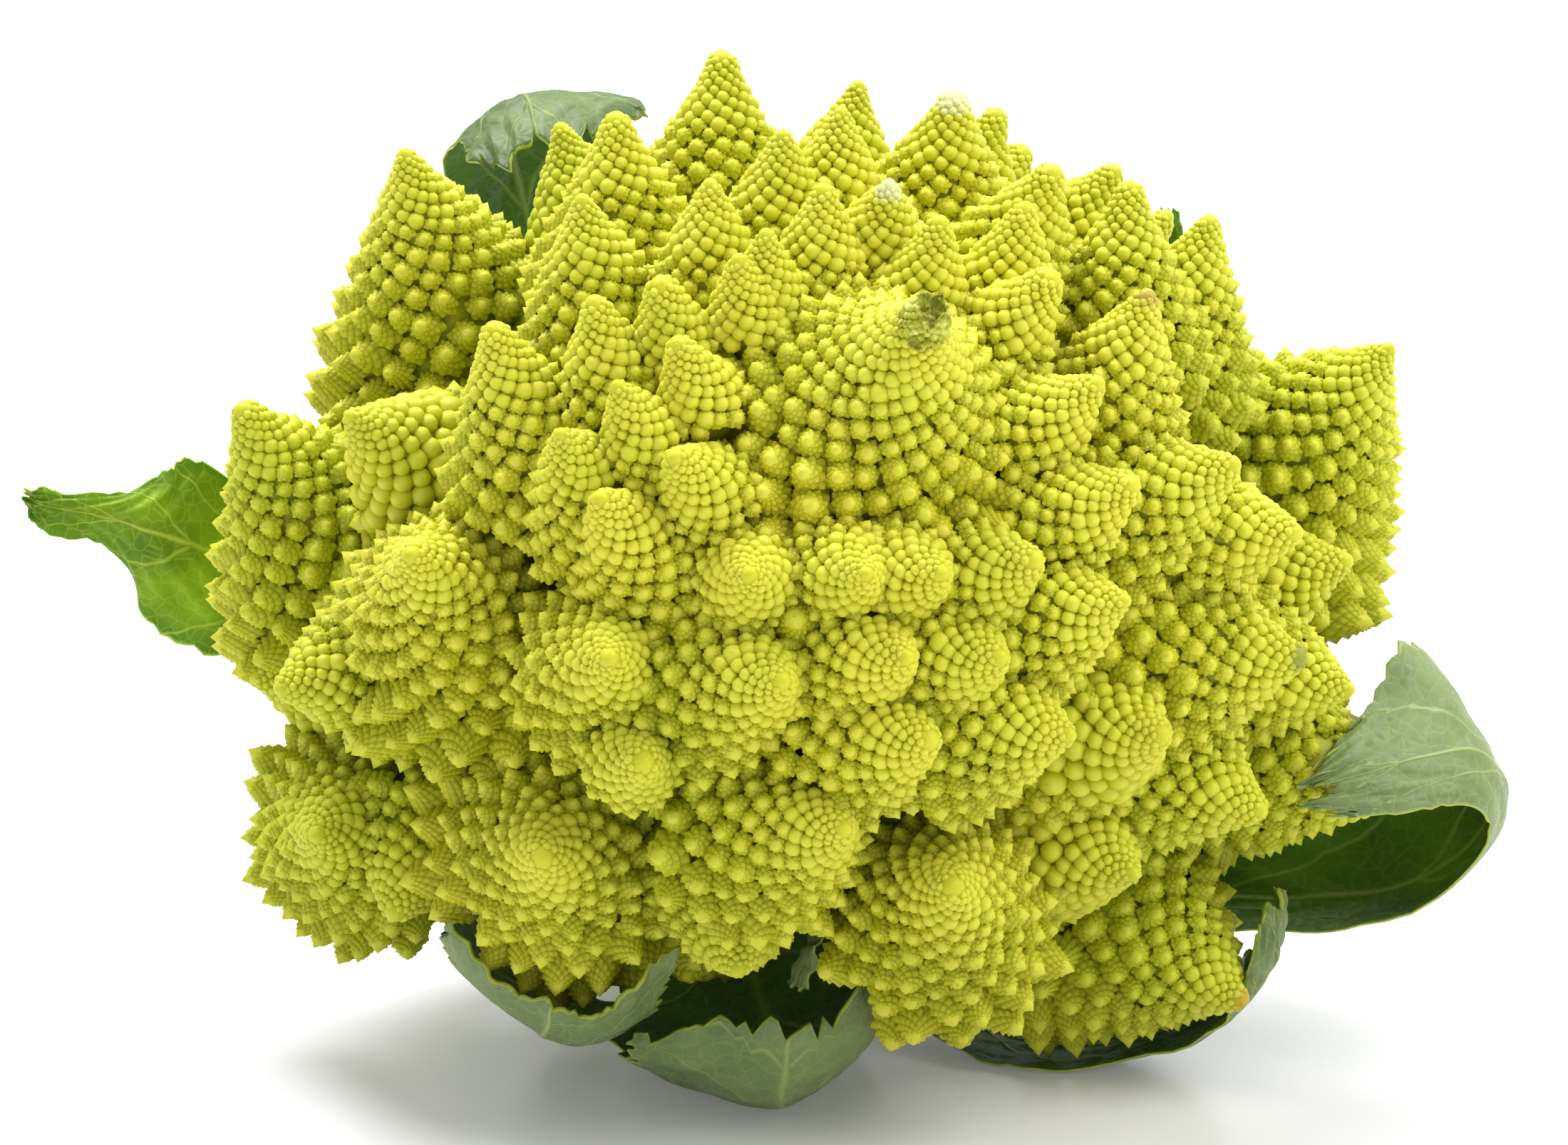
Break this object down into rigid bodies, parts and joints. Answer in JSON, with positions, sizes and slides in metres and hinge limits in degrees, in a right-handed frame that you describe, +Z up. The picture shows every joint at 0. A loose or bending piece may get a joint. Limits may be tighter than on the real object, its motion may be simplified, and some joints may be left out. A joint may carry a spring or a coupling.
{
  "type": "romanesco head",
  "caption": "Head of romanesco resting on its side, its curd a dome of spiralling cone-shaped florets, with the cut stalk behind and curled inner leaves round it.",
  "frame": {"origin": "middle of the bounding box, on the surface that the head rests on", "axes": "+Z up, -Y towards the front of the head, which the crown leans to, +X towards the large folded leaf"},
  "size_m": [0.2092, 0.1456, 0.1423],
  "materials": {
    "curd": "smooth matt vegetable skin, bright yellow-green",
    "stalk": "pale green fibrous stalk with a cut face",
    "leaf": "waxy grey-green leaf with pale veins, deep green inside"
  },
  "bodies": {
    "root": {"curd": "curd", "stalk": "stalk", "leaf_front": "leaf", "leaf_front_left": "leaf", "leaf_under_right": "leaf", "leaf_right": "leaf", "leaf_left": "leaf", "leaf_back": "leaf", "leaf_back_right": "leaf"}
  },
  "joints": []
}
